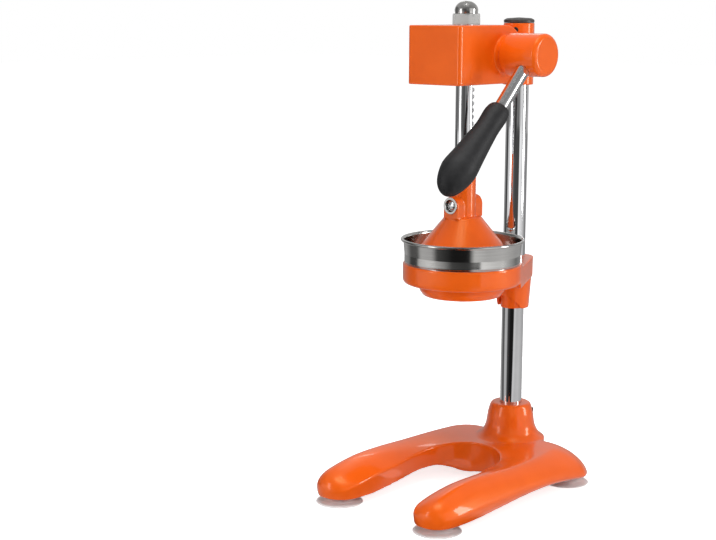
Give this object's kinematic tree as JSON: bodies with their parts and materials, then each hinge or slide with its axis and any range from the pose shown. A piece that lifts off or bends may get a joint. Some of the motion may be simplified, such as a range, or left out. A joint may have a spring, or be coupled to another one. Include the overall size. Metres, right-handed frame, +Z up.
{
  "type": "lever citrus press",
  "caption": "Hand lever press on a horseshoe base: a rack and pinion drives a cone onto a reamer in a bowl, to squeeze halved citrus fruit into a glass.",
  "frame": {"origin": "on the table, midway between the four suction cups", "axes": "+Z up, -Y to the front (open end of the base), +X to the lever's side"},
  "size_m": [0.2104, 0.306, 0.5871],
  "materials": {
    "orange_paint": "glossy baked enamel on cast metal",
    "chrome": "polished chrome plate",
    "stainless": "polished stainless steel with a fine turned grain",
    "plain_steel": "machined steel, lightly oiled",
    "bronze": "sintered bronze",
    "black_steel": "black oxide, satin",
    "black_plastic": "satin moulded plastic",
    "grey_plastic": "moulded plug, satin",
    "silicone": "pale translucent silicone"
  },
  "bodies": {
    "stand": {"base_casting": "orange_paint", "head_housing": "orange_paint", "bowl_bracket": "orange_paint", "column_tube": "chrome", "column_cap": "grey_plastic", "upper_guide_bush": "bronze", "lower_guide_bush": "bronze", "shaft_bush_right": "bronze", "shaft_bush_left": "bronze", "head_bottom_plate": "black_steel", "base_set_screw": "black_steel", "head_set_screw": "black_steel", "bracket_set_screw": "black_steel", "suction_cup_front_left": "silicone", "cup_stud_front_left": "plain_steel", "suction_cup_front_right": "silicone", "cup_stud_front_right": "plain_steel", "suction_cup_rear_left": "silicone", "cup_stud_rear_left": "plain_steel", "suction_cup_rear_right": "silicone", "cup_stud_rear_right": "plain_steel", "plate_screw_1": "plain_steel", "plate_screw_2": "plain_steel", "plate_screw_3": "plain_steel", "plate_screw_4": "plain_steel"},
    "lever": {"pinion_gear": "plain_steel", "pinion_shaft": "plain_steel", "pinion_key": "plain_steel", "shaft_retaining_ring": "black_steel", "lever_hub": "orange_paint", "hub_set_screw": "black_steel", "lever_rod": "chrome", "lever_grip": "black_plastic"},
    "plunger": {"plunger_rack": "chrome", "acorn_nut": "stainless", "press_cone": "orange_paint", "cone_bolt": "chrome", "cone_bolt_ferrule": "stainless", "cone_bolt_nut": "plain_steel"},
    "bowl": {"strainer_bowl": "stainless", "reamer_insert": "stainless"}
  },
  "joints": [
    {"name": "lever_turn", "type": "hinge", "parent": "stand", "child": "lever", "pos_m": [0, 0.033, 0.526], "axis": [-1, 0, 0], "range_deg": [0, 200]},
    {"name": "plunger_lift", "type": "slide", "parent": "stand", "child": "plunger", "axis": [0, 0, 1], "range_m": [0, 0.0786]},
    {"name": "bowl_turn", "type": "hinge", "parent": "stand", "child": "bowl", "pos_m": [0, 0.007, 0.281], "axis": [0, 0, 1], "continuous": true}
  ],
  "couplings": [
    {"joint": "plunger_lift", "follows": "lever_turn", "m_per_rad": 0.0225}
  ]
}
